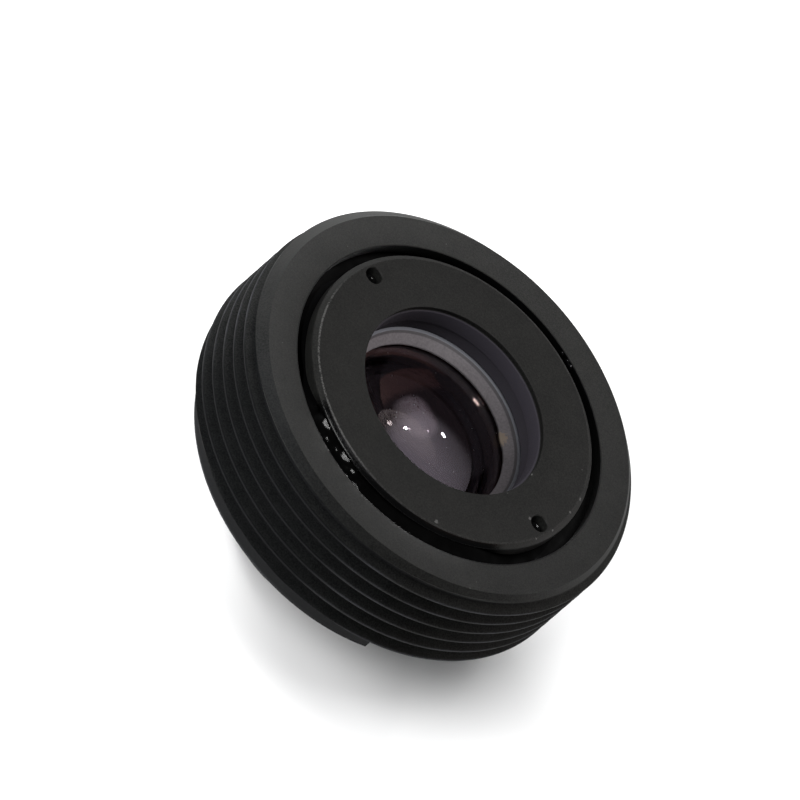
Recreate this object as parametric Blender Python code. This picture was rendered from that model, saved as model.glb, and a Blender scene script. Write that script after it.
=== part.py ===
"""Board camera lens with an M12 thread, standing on its nose with its sensor side up.

The optical axis is +Z and the flat front of the nose lies at z = 0. Sizes are in metres,
written as millimetres times MM. A depth is counted down from the barrel's rear face.
"""
import math

import bmesh
import bpy
from mathutils import Matrix, Vector

MM = 0.001

# Facets of every round piece, and the clearance of each piece to what it sits in or on
FACETS = 48
FIT = 0.03 * MM
SHARP_ANGLE = 30.0
MERGE_DISTANCE = 0.0005 * MM

# Outside of the barrel
THREAD_RADIUS = 6.0 * MM
THREAD_PITCH = 0.5 * MM
THREAD_LENGTH = 3.25 * MM
THREAD_LEAD_IN = 0.015 * MM
THREAD_DEPTH = 0.27 * MM
THREAD_FLANK_ANGLE = 30.0
THREAD_ROOT_WIDTH = 0.125 * MM
GROOVE_CUTTER_OVERRUN = 0.03 * MM
CHAMFER_BELOW_ROOT = 0.07 * MM
THREAD_END_TAPER = 0.17 * MM
BOSS_STEP = 0.63 * MM
BOSS_LENGTH = 0.85 * MM
BOSS_EDGE = 0.05 * MM
BOSS_FACE_WIDTH = 0.81 * MM
NOSE_TIP_RADIUS = 2.6 * MM
NOSE_LENGTH = 2.7 * MM
NOSE_EDGE = 0.1 * MM

# Spanner slots in the boss
SLOT_WIDTH = 2.0 * MM
SLOT_HEIGHT = 0.7 * MM
SLOT_BEARING = -41.0

# Inside of the barrel
REAR_BORE_WALL = 1.24 * MM
REAR_BORE_DEPTH = 1.55 * MM
REAR_BORE_EDGE = 0.02 * MM
NOSE_WALL = 0.42 * MM
FRONT_BORE_RADIUS = 1.9 * MM
FRONT_BORE_HEIGHT = 1.1 * MM
LIP_HEIGHT = 0.45 * MM
MOUTH_RADIUS = 1.6 * MM
PUPIL_RADIUS = 1.1 * MM

# Retaining ring, which screws into the rear bore and stands a little proud of the face
RING_RAISE = 0.23 * MM
RING_DEPTH = 0.85 * MM
GLUE_GAP = 0.36 * MM
RING_BEVEL_WIDTH = 0.15 * MM
RING_BEVEL_HEIGHT = 0.1 * MM
RING_FLANGE_HEIGHT = 0.38 * MM
RING_FACE_WIDTH = 1.6 * MM
RING_MOUTH_DEPTH = 0.15 * MM
RING_MOUTH_FLARE = 0.04 * MM
RING_RELIEF_CUT = 0.04 * MM
RING_RELIEF_HEIGHT = 0.45 * MM
DRIVE_HOLE_INSET = 0.455 * MM
DRIVE_HOLE_RADIUS = 0.25 * MM
DRIVE_HOLE_DEPTH = 0.5 * MM
DRIVE_HOLE_FACETS = 16
DRIVE_BEARINGS = (-9.3, 167.7)

# Adhesive that locks the retaining ring
BEAD_DROP = 0.06 * MM
BEAD_CLIMB = 0.12 * MM

# Conical seat ring under the retaining ring
SEAT_THICKNESS = 0.34 * MM
SEAT_STEP = 0.02 * MM
SEAT_CONE_WIDTH = 0.27 * MM
SEAT_THROAT_HEIGHT = 0.05 * MM

# Glass elements, rear to front: rim thickness, then the clear radius and crown of each side
# A crown above zero bulges out of the rim's plane and one below zero dips into it
LENS_BEVEL = 0.06 * MM
LENS_ARC_STEPS = 4
REAR_LENS_RIM = 0.8 * MM
REAR_LENS_CROWN = 0.39 * MM
REAR_LENS_BASE_CROWN = 0.27 * MM
THIRD_LENS_RIM = 0.7 * MM
THIRD_LENS_CROWN = 0.6 * MM
THIRD_LENS_HOLLOW = -0.2 * MM
SECOND_LENS_RIM = 0.7 * MM
SECOND_LENS_CROWN = 0.3 * MM
SECOND_LENS_HOLLOW = -0.2 * MM
FRONT_LENS_RIM = 0.65 * MM
FRONT_LENS_CROWN = 0.2 * MM
FRONT_LENS_NOSE = 0.2 * MM

# Spacers between the elements, and the blackened stop
SPACER_WALL = 0.97 * MM
MIDDLE_SPACER_HEIGHT = 0.54 * MM
FRONT_SPACER_WALL = 0.52 * MM
STOP_THICKNESS = 0.12 * MM
STOP_RADIUS = 0.8 * MM

# Sizes and heights that follow from the sizes above
REAR_CHAMFER = THREAD_DEPTH + CHAMFER_BELOW_ROOT
THREAD_END_RADIUS = THREAD_RADIUS - REAR_CHAMFER
BOSS_RADIUS = THREAD_RADIUS - BOSS_STEP
BOSS_TOP = NOSE_LENGTH + BOSS_LENGTH
REAR_FACE = BOSS_TOP + THREAD_LENGTH
CELL_FLOOR = LIP_HEIGHT + FRONT_BORE_HEIGHT
CELL_TOP = REAR_FACE - REAR_BORE_DEPTH
NOSE_BASE_RADIUS = BOSS_RADIUS - BOSS_FACE_WIDTH
NOSE_SLOPE = (NOSE_BASE_RADIUS - NOSE_TIP_RADIUS) / (NOSE_LENGTH - NOSE_EDGE)
CELL_BORE_RADIUS = NOSE_TIP_RADIUS + NOSE_SLOPE * (CELL_FLOOR - NOSE_EDGE) - NOSE_WALL
CELL_RADIUS = CELL_BORE_RADIUS - FIT
SPACER_BORE_RADIUS = CELL_RADIUS - SPACER_WALL
REAR_BORE_RADIUS = THREAD_RADIUS - REAR_BORE_WALL
RING_RADIUS = REAR_BORE_RADIUS - GLUE_GAP
RING_MOUTH_RADIUS = RING_RADIUS - RING_FACE_WIDTH
RING_BORE_RADIUS = RING_MOUTH_RADIUS - RING_MOUTH_FLARE
RING_RELIEF_RADIUS = RING_BORE_RADIUS + RING_RELIEF_CUT
DRIVE_CIRCLE_RADIUS = RING_RADIUS - DRIVE_HOLE_INSET
SEAT_TOP_RADIUS = RING_BORE_RADIUS - SEAT_STEP
SEAT_THROAT_RADIUS = SEAT_TOP_RADIUS - SEAT_CONE_WIDTH
RING_BOTTOM = REAR_FACE - RING_DEPTH
FLANGE_RADIUS = REAR_BORE_RADIUS - FIT
FLANGE_TOP = RING_BOTTOM + RING_FLANGE_HEIGHT

# Each look holds a linear colour, a roughness and a metallic value
BLACK_ANODISED = ((0.030, 0.031, 0.028, 1.0), 0.5, 0.6)
BLACK_PAINT = ((0.006, 0.006, 0.006, 1.0), 0.7, 0.0)
BLACK_ADHESIVE = ((0.002, 0.002, 0.002, 1.0), 0.08, 0.0)
PALE_SATIN = ((0.220, 0.200, 0.205, 1.0), 0.45, 0.3)
COATED_GLASS = ((0.045, 0.030, 0.055, 1.0), 0.04, 0.0)


def clear_scene():
    for old in list(bpy.data.objects):
        bpy.data.objects.remove(old, do_unlink=True)


def make_material(name, look):
    colour, roughness, metallic = look
    material = bpy.data.materials.new(name)
    material.use_nodes = True
    shader = material.node_tree.nodes["Principled BSDF"]
    shader.inputs["Base Color"].default_value = colour
    shader.inputs["Roughness"].default_value = roughness
    shader.inputs["Metallic"].default_value = metallic
    material.diffuse_color = colour
    return material


def add_object(name, bm, parent, look):
    """Turns a bmesh into an object with outward faces, smooth rounds and its own material."""
    bmesh.ops.recalc_face_normals(bm, faces=bm.faces)
    mesh = bpy.data.meshes.new(name)
    bm.to_mesh(mesh)
    bm.free()
    mesh.shade_smooth()
    mesh.set_sharp_from_angle(angle=math.radians(SHARP_ANGLE))
    piece = bpy.data.objects.new(name, mesh)
    bpy.context.collection.objects.link(piece)
    piece.parent = parent
    if look is not None:
        mesh.materials.append(make_material(name, look))
    return piece


def turned_mesh(profile, closed):
    """Spins a profile of (radius, height) points about Z; an open one starts and ends on the axis."""
    bm = bmesh.new()
    points = [bm.verts.new((radius, 0.0, height)) for radius, height in profile]
    edges = [bm.edges.new(pair) for pair in zip(points, points[1:])]
    if closed:
        edges.append(bm.edges.new((points[-1], points[0])))
    bmesh.ops.spin(
        bm, geom=points + edges, axis=(0, 0, 1), cent=(0, 0, 0),
        angle=math.tau, steps=FACETS, use_merge=True,
    )
    bmesh.ops.remove_doubles(bm, verts=bm.verts, dist=MERGE_DISTANCE)
    return bm


def turned(name, profile, parent, look, closed=True):
    return add_object(name, turned_mesh(profile, closed), parent, look)


def cap(clear_radius, rim_height, crown):
    """Points of a spherical face, from the axis to its clear radius at the rim's height."""
    ball = (clear_radius ** 2 + crown ** 2) / (2 * abs(crown))
    half_angle = math.asin(clear_radius / ball)
    side = math.copysign(1.0, crown)
    centre = rim_height + crown - side * ball
    steps = [half_angle * step / LENS_ARC_STEPS for step in range(LENS_ARC_STEPS + 1)]
    return [(ball * math.sin(a), centre + side * ball * math.cos(a)) for a in steps]


def lens(name, radius, bottom, rim, upper, lower, parent):
    """A glass element: a rim with small bevels, and a spherical face on each side.

    upper and lower hold the clear radius and the crown of the two faces.
    """
    top = bottom + rim
    upper_face = cap(upper[0], top, upper[1])
    lower_face = cap(lower[0], bottom, -lower[1])
    rim_points = [
        (radius - LENS_BEVEL, top),
        (radius, top - LENS_BEVEL),
        (radius, bottom + LENS_BEVEL),
        (radius - LENS_BEVEL, bottom),
    ]
    profile = upper_face + rim_points + lower_face[::-1]
    return turned(name, profile, parent, COATED_GLASS, closed=False)


def spacer(name, outer, inner, bottom, top, parent):
    profile = [(inner, top), (outer, top), (outer, bottom), (inner, bottom)]
    return turned(name, profile, parent, BLACK_PAINT)


def hide_cutter(cutter):
    cutter.hide_render = True
    cutter.display_type = "WIRE"


def cut(piece, cutter, name):
    hide_cutter(cutter)
    modifier = piece.modifiers.new(name, "BOOLEAN")
    modifier.operation = "DIFFERENCE"
    modifier.solver = "EXACT"
    modifier.object = cutter


def thread_groove_cutter(parent):
    """A V groove wound round the barrel, open past both ends of the thread."""
    flank = math.tan(math.radians(THREAD_FLANK_ANGLE))
    root_half = THREAD_ROOT_WIDTH / 2
    open_half = root_half + (THREAD_DEPTH + GROOVE_CUTTER_OVERRUN) * flank
    section = [
        (THREAD_RADIUS - THREAD_DEPTH, -root_half),
        (THREAD_RADIUS + GROOVE_CUTTER_OVERRUN, -open_half),
        (THREAD_RADIUS + GROOVE_CUTTER_OVERRUN, open_half),
        (THREAD_RADIUS - THREAD_DEPTH, root_half),
    ]
    start = REAR_FACE - THREAD_LENGTH - THREAD_PITCH + THREAD_LEAD_IN
    steps = math.ceil((THREAD_LENGTH + 2 * THREAD_PITCH) / THREAD_PITCH * FACETS)
    bm = bmesh.new()
    rings = []
    for step in range(steps + 1):
        turn = Matrix.Rotation(math.tau * step / FACETS, 3, "Z")
        rise = start + THREAD_PITCH * step / FACETS
        ring = [bm.verts.new(turn @ Vector((radius, 0, rise + offset))) for radius, offset in section]
        rings.append(ring)
    for low, high in zip(rings, rings[1:]):
        for corner in range(4):
            following = (corner + 1) % 4
            bm.faces.new((low[corner], low[following], high[following], high[corner]))
    bm.faces.new(rings[0])
    bm.faces.new(rings[-1])
    return add_object("thread_groove_cutter", bm, parent, None)


def slot_cutter(side, parent):
    """A block that opens one spanner slot in the boss, outside the foot of the nose cone."""
    reach = BOSS_RADIUS - NOSE_BASE_RADIUS + SLOT_WIDTH
    bm = bmesh.new()
    bmesh.ops.create_cube(bm, size=1.0)
    bmesh.ops.scale(bm, vec=(reach, SLOT_WIDTH, 2 * SLOT_HEIGHT), verts=bm.verts)
    cutter = add_object(f"slot_cutter_{side}", bm, parent, None)
    bearing = math.radians(SLOT_BEARING + 180 * side)
    middle = NOSE_BASE_RADIUS + reach / 2
    cutter.location = (middle * math.cos(bearing), middle * math.sin(bearing), NOSE_LENGTH)
    cutter.rotation_euler = (0, 0, bearing)
    return cutter


def drive_hole_cutter(side, parent):
    """A drill for one of the two holes that turn the retaining ring."""
    bm = bmesh.new()
    bmesh.ops.create_cone(
        bm, cap_ends=True, segments=DRIVE_HOLE_FACETS,
        radius1=DRIVE_HOLE_RADIUS, radius2=DRIVE_HOLE_RADIUS, depth=2 * DRIVE_HOLE_DEPTH,
    )
    cutter = add_object(f"drive_hole_cutter_{side}", bm, parent, None)
    bearing = math.radians(DRIVE_BEARINGS[side])
    x = DRIVE_CIRCLE_RADIUS * math.cos(bearing)
    y = DRIVE_CIRCLE_RADIUS * math.sin(bearing)
    cutter.location = (x, y, REAR_FACE + RING_RAISE)
    return cutter


def build_barrel(parent):
    profile = [
        (REAR_BORE_RADIUS + REAR_BORE_EDGE, REAR_FACE),
        (THREAD_RADIUS - REAR_CHAMFER, REAR_FACE),
        (THREAD_RADIUS, REAR_FACE - REAR_CHAMFER),
        (THREAD_RADIUS, BOSS_TOP + THREAD_END_TAPER),
        (THREAD_END_RADIUS, BOSS_TOP),
        (BOSS_RADIUS, BOSS_TOP),
        (BOSS_RADIUS, NOSE_LENGTH + BOSS_EDGE),
        (BOSS_RADIUS - BOSS_EDGE, NOSE_LENGTH),
        (NOSE_BASE_RADIUS, NOSE_LENGTH),
        (NOSE_TIP_RADIUS, NOSE_EDGE),
        (NOSE_TIP_RADIUS - NOSE_EDGE, 0.0),
        (MOUTH_RADIUS, 0.0),
        (PUPIL_RADIUS, LIP_HEIGHT),
        (FRONT_BORE_RADIUS, LIP_HEIGHT),
        (FRONT_BORE_RADIUS, CELL_FLOOR),
        (CELL_BORE_RADIUS, CELL_FLOOR),
        (CELL_BORE_RADIUS, CELL_TOP),
        (REAR_BORE_RADIUS, CELL_TOP),
        (REAR_BORE_RADIUS, REAR_FACE - REAR_BORE_EDGE),
    ]
    barrel = turned("barrel", profile, parent, BLACK_ANODISED)
    cut(barrel, thread_groove_cutter(parent), "thread")
    for side in range(2):
        cut(barrel, slot_cutter(side, parent), f"spanner slot {side}")


def build_retaining_ring(parent):
    top = REAR_FACE + RING_RAISE
    profile = [
        (RING_MOUTH_RADIUS, top),
        (RING_RADIUS - RING_BEVEL_WIDTH, top),
        (RING_RADIUS, top - RING_BEVEL_HEIGHT),
        (RING_RADIUS, FLANGE_TOP),
        (FLANGE_RADIUS, FLANGE_TOP),
        (FLANGE_RADIUS, RING_BOTTOM),
        (RING_RELIEF_RADIUS, RING_BOTTOM),
        (RING_RELIEF_RADIUS, RING_BOTTOM + RING_RELIEF_HEIGHT),
        (RING_BORE_RADIUS, RING_BOTTOM + RING_RELIEF_HEIGHT),
        (RING_BORE_RADIUS, top - RING_MOUTH_DEPTH),
    ]
    ring = turned("retaining_ring", profile, parent, BLACK_ANODISED)
    for side in range(2):
        cut(ring, drive_hole_cutter(side, parent), f"drive hole {side}")


def build_adhesive_bead(parent):
    inner = RING_RADIUS + FIT
    outer = REAR_BORE_RADIUS - FIT
    top = REAR_FACE - REAR_BORE_EDGE - BEAD_DROP
    bottom = FLANGE_TOP + FIT
    middle = (inner + outer) / 2
    profile = [
        (inner, top + BEAD_CLIMB),
        (middle, top - BEAD_DROP),
        (outer, top),
        (outer, bottom),
        (inner, bottom),
    ]
    turned("adhesive_bead", profile, parent, BLACK_ADHESIVE)


def build_seat_ring(parent):
    top = RING_BOTTOM - FIT
    bottom = top - SEAT_THICKNESS
    profile = [
        (SEAT_TOP_RADIUS, top),
        (FLANGE_RADIUS, top),
        (FLANGE_RADIUS, bottom),
        (SEAT_THROAT_RADIUS, bottom),
        (SEAT_THROAT_RADIUS, bottom + SEAT_THROAT_HEIGHT),
    ]
    turned("seat_ring", profile, parent, PALE_SATIN)
    return bottom


def build_front_group(parent):
    """The front element, its spacer and the stop, stacked on the nose's lip."""
    radius = FRONT_BORE_RADIUS - FIT
    inner = radius - FRONT_SPACER_WALL
    bottom = LIP_HEIGHT + FIT
    upper = (inner - FIT, FRONT_LENS_CROWN)
    lower = (PUPIL_RADIUS - FIT, FRONT_LENS_NOSE)
    lens("front_lens", radius, bottom, FRONT_LENS_RIM, upper, lower, parent)
    spacer("front_spacer", radius, inner, bottom + FRONT_LENS_RIM + FIT, CELL_FLOOR, parent)
    stop_bottom = CELL_FLOOR + FIT
    spacer("aperture_stop", CELL_RADIUS, STOP_RADIUS, stop_bottom, stop_bottom + STOP_THICKNESS, parent)
    return stop_bottom + STOP_THICKNESS


def build_cell_stack(parent, stop_top, seat_bottom):
    """The three larger elements with their spacers, between the stop and the seat ring."""
    clear = SPACER_BORE_RADIUS - FIT
    second_bottom = stop_top + FIT
    upper = (clear, SECOND_LENS_CROWN)
    lower = (clear, SECOND_LENS_HOLLOW)
    lens("second_lens", CELL_RADIUS, second_bottom, SECOND_LENS_RIM, upper, lower, parent)

    spacer_bottom = second_bottom + SECOND_LENS_RIM + FIT
    spacer_top = spacer_bottom + MIDDLE_SPACER_HEIGHT
    spacer("middle_spacer", CELL_RADIUS, SPACER_BORE_RADIUS, spacer_bottom, spacer_top, parent)

    third_bottom = spacer_top + FIT
    upper = (clear, THIRD_LENS_CROWN)
    lower = (clear, THIRD_LENS_HOLLOW)
    lens("third_lens", CELL_RADIUS, third_bottom, THIRD_LENS_RIM, upper, lower, parent)

    rear_bottom = seat_bottom - FIT - REAR_LENS_RIM
    rear_spacer_bottom = third_bottom + THIRD_LENS_RIM + FIT
    rear_spacer_top = rear_bottom - FIT
    spacer("rear_spacer", CELL_RADIUS, SPACER_BORE_RADIUS, rear_spacer_bottom, rear_spacer_top, parent)

    upper = (SEAT_THROAT_RADIUS - FIT, REAR_LENS_CROWN)
    lower = (clear, REAR_LENS_BASE_CROWN)
    lens("rear_lens", CELL_RADIUS, rear_bottom, REAR_LENS_RIM, upper, lower, parent)


def main():
    clear_scene()
    axis = bpy.data.objects.new("optical_axis", None)
    bpy.context.collection.objects.link(axis)
    build_barrel(axis)
    build_retaining_ring(axis)
    build_adhesive_bead(axis)
    seat_bottom = build_seat_ring(axis)
    stop_top = build_front_group(axis)
    build_cell_stack(axis, stop_top, seat_bottom)


main()
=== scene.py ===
"""Looks of a board camera lens with an M12 thread, standing on its nose with its sensor side up.

Sizes are in metres, written as millimetres times MM. The optical axis is +Z, and a bearing is an
angle about it in degrees, from +X towards +Y. The camera looks from -Y.
"""

import math
import random

import bmesh
import bpy
from mathutils import Matrix, Vector, noise


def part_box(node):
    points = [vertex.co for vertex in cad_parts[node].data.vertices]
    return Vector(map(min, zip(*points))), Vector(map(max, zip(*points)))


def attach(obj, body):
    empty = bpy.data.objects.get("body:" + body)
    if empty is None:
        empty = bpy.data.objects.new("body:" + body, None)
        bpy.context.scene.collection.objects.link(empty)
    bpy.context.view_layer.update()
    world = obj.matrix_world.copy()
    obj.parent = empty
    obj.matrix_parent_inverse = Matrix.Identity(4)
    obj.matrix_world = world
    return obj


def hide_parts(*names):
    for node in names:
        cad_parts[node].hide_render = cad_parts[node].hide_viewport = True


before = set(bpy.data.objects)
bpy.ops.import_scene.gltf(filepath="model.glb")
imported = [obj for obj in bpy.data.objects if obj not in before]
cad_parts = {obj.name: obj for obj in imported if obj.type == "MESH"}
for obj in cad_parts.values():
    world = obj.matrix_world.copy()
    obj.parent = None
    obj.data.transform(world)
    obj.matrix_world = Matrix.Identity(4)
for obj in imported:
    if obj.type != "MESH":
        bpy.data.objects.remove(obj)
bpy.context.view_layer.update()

MM = 0.001
MERGE_DISTANCE = 0.0005 * MM
SHARP_ANGLE = 35.0

# Columns round each turned piece
BARREL_COLUMNS = 288
RING_COLUMNS = 240
BEAD_COLUMNS = 1440
SEAT_COLUMNS = 720
OPTIC_COLUMNS = 192
HOLE_COLUMNS = 48

# Heights and radii read from the solids that the pieces stand for
THREAD_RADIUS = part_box("barrel")[1].x
REAR_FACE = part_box("barrel")[1].z
RING_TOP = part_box("retaining_ring")[1].z
RING_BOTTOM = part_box("retaining_ring")[0].z
FLANGE_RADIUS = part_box("retaining_ring")[1].x
REAR_BORE_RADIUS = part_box("adhesive_bead")[1].x + 0.03 * MM
BEAD_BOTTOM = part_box("adhesive_bead")[0].z
BEAD_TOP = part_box("adhesive_bead")[1].z
SEAT_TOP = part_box("seat_ring")[1].z
SEAT_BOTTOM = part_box("seat_ring")[0].z
SEAT_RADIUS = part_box("seat_ring")[1].x
CELL_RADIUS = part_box("rear_lens")[1].x

# Thread of the barrel
THREAD_PITCH = 0.5 * MM
THREAD_LENGTH = 3.25 * MM
THREAD_LEAD_IN = 0.015 * MM
THREAD_DEPTH = 0.27 * MM
THREAD_FLANK_ANGLE = 30.0
THREAD_ROOT_WIDTH = 0.125 * MM
CREST_ROUNDING = 0.018 * MM
ROOT_ROUNDING = 0.03 * MM
FLANK_ROWS = 3
SHORTEST_FLANK = 0.1 * MM
THREAD_END_RADIUS = THREAD_RADIUS - 0.34 * MM
THREAD_END_TAPER = 0.17 * MM

# Rest of the barrel
BOSS_RADIUS = 5.37 * MM
BOSS_EDGE = 0.05 * MM
NOSE_BASE_RADIUS = 4.56 * MM
NOSE_LENGTH = 2.7 * MM
NOSE_TIP_RADIUS = 2.6 * MM
NOSE_EDGE = 0.1 * MM
MOUTH_RADIUS = 1.6 * MM
PUPIL_RADIUS = 1.1 * MM
LIP_HEIGHT = 0.45 * MM
FRONT_BORE_RADIUS = 1.9 * MM
CELL_FLOOR = 1.55 * MM
CELL_BORE_RADIUS = CELL_RADIUS + 0.03 * MM
CELL_TOP = REAR_FACE - 1.55 * MM
FINE_EDGE = 0.03 * MM

# Spanner slots in the boss
SLOT_WIDTH = 2.0 * MM
SLOT_HEIGHT = 0.7 * MM
SLOT_BEARING = -41.0
SLOT_EDGE = 0.06 * MM

# Retaining ring
RING_RADIUS = 4.4 * MM
RING_BEVEL_WIDTH = 0.15 * MM
RING_BEVEL_HEIGHT = 0.1 * MM
FLANGE_TOP = RING_BOTTOM + 0.38 * MM
RING_MOUTH_RADIUS = 2.8 * MM
RING_MOUTH_DEPTH = 0.15 * MM
RING_MOUTH_UNDERCUT = 0.03 * MM
RING_BORE_RADIUS = 2.765 * MM
RING_BORE_TAPER = 0.025 * MM
RING_RELIEF_RADIUS = 2.8 * MM
RING_RELIEF_HEIGHT = 0.45 * MM
DRIVE_CIRCLE_RADIUS = 3.945 * MM
DRIVE_HOLE_RADIUS = 0.25 * MM
DRIVE_HOLE_DEPTH = 0.5 * MM
DRIVE_HOLE_BURR = 0.025 * MM
DRIVE_BEARINGS = (-9.3, 167.7)

# Adhesive in the gap round the ring: heights of its skin over the barrel's rear face
BEAD_CLEARANCE = 0.004 * MM
BEAD_ROWS = 14
BEAD_LOW_INNER = -0.2 * MM
BEAD_LOW_OUTER = -0.33 * MM
BEAD_HIGH_INNER = 0.1 * MM
BEAD_HIGH_OUTER = -0.03 * MM
BEAD_SAG = 0.02 * MM
BEAD_RIPPLE = 0.025 * MM
BEAD_CLIMB_BEARING = -77.0
BEAD_CLIMB_SPREAD = 46.0
BEAD_CLIMB_FADE = 24.0

# Lumps of adhesive, and the drops in the spanner holes, whose height is a share of their width
LUMP_COUNT = 13
LUMP_BEARINGS = (-120.0, -90.0)
LUMP_RISE_MM = (0.01, 0.03)
LUMP_WIDTH_MM = (0.07, 0.15)
BIG_LUMP_BEARINGS = (-99.9, -113.0)
BIG_LUMP_ACROSS = 0.25
BIG_LUMP_RISE = 0.02 * MM
BIG_LUMP_WIDTH = 0.23 * MM
FAR_LUMP_BEARINGS = (73.5, 75.5, 78.6)
FAR_LUMP_ACROSS = 0.8
FAR_LUMP_RISE = 0.01 * MM
FAR_LUMP_WIDTH = 0.11 * MM
DROP_RADIUS = 0.2 * MM
DROP_HEIGHT = 0.9

# Seat ring
SEAT_CONE_TOP_RADIUS = 2.74 * MM
SEAT_THROAT_RADIUS = 2.47 * MM
SEAT_THROAT_HEIGHT = 0.05 * MM
CHIP_BEARING = 50.0
CHIP_SPREAD = 6.0
CHIP_REACH = 0.07 * MM
THROAT_RAGGED_SCALE = 12.0 / MM
THROAT_RAGGEDNESS = 0.006 * MM

# Glass elements: bottom and top of each rim, and each face's clear radius and outward crown
CELL_CLEAR = 2.243 * MM
REAR_LENS_RIM = (4.75 * MM, 5.55 * MM)
REAR_LENS_FACES = ((2.44 * MM, 0.39 * MM), (CELL_CLEAR, 0.27 * MM))
THIRD_LENS_RIM = (3.03 * MM, 3.73 * MM)
THIRD_LENS_FACES = ((CELL_CLEAR, 0.6 * MM), (CELL_CLEAR, -0.2 * MM))
SECOND_LENS_RIM = (1.73 * MM, 2.43 * MM)
SECOND_LENS_FACES = ((CELL_CLEAR, 0.3 * MM), (CELL_CLEAR, -0.2 * MM))
FRONT_LENS_RIM = (0.48 * MM, 1.13 * MM)
FRONT_LENS_FACES = ((1.32 * MM, 0.2 * MM), (1.07 * MM, 0.2 * MM))
LENS_BEVEL = 0.06 * MM
FACE_STEPS = 24

# Spacers and stop
SPACER_BORE = CELL_CLEAR + FINE_EDGE
FRONT_SPACER_BORE = 1.35 * MM
STOP_RADIUS = 0.8 * MM

# Camera, read from the photograph, and the floor's half size in metres
CAMERA_ELEVATION = 43.14
CAMERA_ROLL = 48.93
CAMERA_DISTANCE = 800 * MM
PICTURE_PIXELS = 800
PIXELS_PER_MM = 38.13
FACE_CENTRE_PIXEL = (449.65, 404.67)
FLOOR_HALF_SIZE = 2.0

# Colours
ANODISED_DARK = (0.005, 0.0051, 0.0048, 1)
ANODISED_PALE = (0.024, 0.0243, 0.0224, 1)
METAL_DUST = (0.3, 0.3, 0.29, 1)
# Painted shade for the thread's grooves and the boss
PAINTED_SHADE_METAL = (0.004, 0.0043, 0.005, 1)
# Crests: wear with a painted highlight, and painted shade on one side
CREST_WEAR_AND_HIGHLIGHT = (0.03, 0.031, 0.034, 1)
CREST_PAINTED_SHADE = (0.003, 0.0032, 0.0036, 1)
# Painted highlight along the boss's lower edge
BOSS_RIM_HIGHLIGHT = (0.055, 0.056, 0.06, 1)
# Wear with painted highlights on the ring's top edge and nicks
RING_WEAR_AND_HIGHLIGHT = (0.11, 0.11, 0.107, 1)
# Painted light on the ring's bore wall
BORE_PAINTED_LIGHT = (0.056, 0.051, 0.064, 1)
ADHESIVE_DARK = (0.0001, 0.0001, 0.0001, 1)
ADHESIVE_PALE = (0.0004, 0.0004, 0.0004, 1)
GAP_WALL_BLACK = (0.0005, 0.0005, 0.0005, 1)
GLUED_RIM = (0.001, 0.001, 0.001, 1)
SEAT_DARK = (0.17, 0.155, 0.165, 1)
SEAT_PALE = (0.24, 0.22, 0.23, 1)
# Painted highlight on the seat's lip, and painted shade on the step under it
SEAT_LIP_HIGHLIGHT = (0.2, 0.205, 0.23, 1)
SEAT_STEP_PAINTED_SHADE = (0.05, 0.047, 0.05, 1)
SEAT_CHIP = (0.3, 0.24, 0.19, 1)
GLASS_DUST = (0.55, 0.55, 0.55, 1)
LILAC_COATING = (0.77, 0.65, 0.8, 1)
LILAC_GLASS = (0.85, 0.78, 0.78, 1)
BROWN_COATING = (0.6, 0.55, 0.62, 1)
BROWN_GLASS = (0.85, 0.72, 0.66, 1)
WINDOW_SURROUND = (0.045, 0.038, 0.04, 1)
WINDOW_WARM = (0.24, 0.16, 0.14, 1)
BAFFLE_DARK = (0.04, 0.019, 0.017, 1)
BAFFLE_PALE = (0.085, 0.045, 0.038, 1)
FLOOR_DARK = (0.9, 0.9, 0.9, 1)
FLOOR_PALE = (0.92, 0.92, 0.92, 1)
WHITE = (1, 1, 1, 1)
BLACK = (0, 0, 0, 1)

# Refractive indices
REAR_IOR = 1.6
INNER_IOR = 1.4

# Middles of the ring's arc of wear and painted highlight and the thread's arc of painted shade, and
# how far off each effect fades
RING_WEAR_AND_HIGHLIGHT_BEARING = -132.0
RING_WEAR_AND_HIGHLIGHT_FADE = (50.0, 28.0)
CREST_SHADE_BEARING = -112.0
CREST_SHADE_FADE = (42.0, 28.0)
BOSS_RIM_HIGHLIGHT_FADE = (50.0, 20.0)
GLUED_FADE = (BEAD_CLIMB_SPREAD + 4, BEAD_CLIMB_SPREAD - 6)

# Where the finishes and the painted light and shade change, in mm from the edge that they follow,
# and how strongly
BEVEL_REACHES = (-0.3, -0.36)
THREAD_END_REACHES = (0.0, 0.02)
GROOVE_REACHES = (-0.2, -0.28)
GROOVE_SHADE = 0.7
BOSS_SHADE = 0.8
FLANK_RADIUS = 5.2
FLANK_ROUGHNESS = 0.8
CREST_REACHES = (-0.03, -0.006)
GAP_WALL_REACHES = (0.05, 0.03)
GAP_WALL_DEPTH = 0.6
BOSS_RIM_REACHES = (0.13, 0.07)
BOSS_RIM_FOOT = 0.02
BORE_REACHES = (0.055, 0.025)
MOUTH_FOOT_REACHES = (0.01, -0.01)
RING_EDGE_REACHES = (0.035, 0.01)
RING_TOP_REACHES = (-0.03, -0.015)
RING_EDGE_WEAR_AND_HIGHLIGHT = 1.6
GLUED_RIM_REACHES = (0.02, 0.04)
GLUED_RIM_POLISH = -0.45
SEAT_STEP_REACHES = (-0.085, -0.06)
SEAT_STEP_SHADE = 0.7
SEAT_LIP_REACHES = (-0.02, -0.008)
CHIP_STAIN = 0.45

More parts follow.
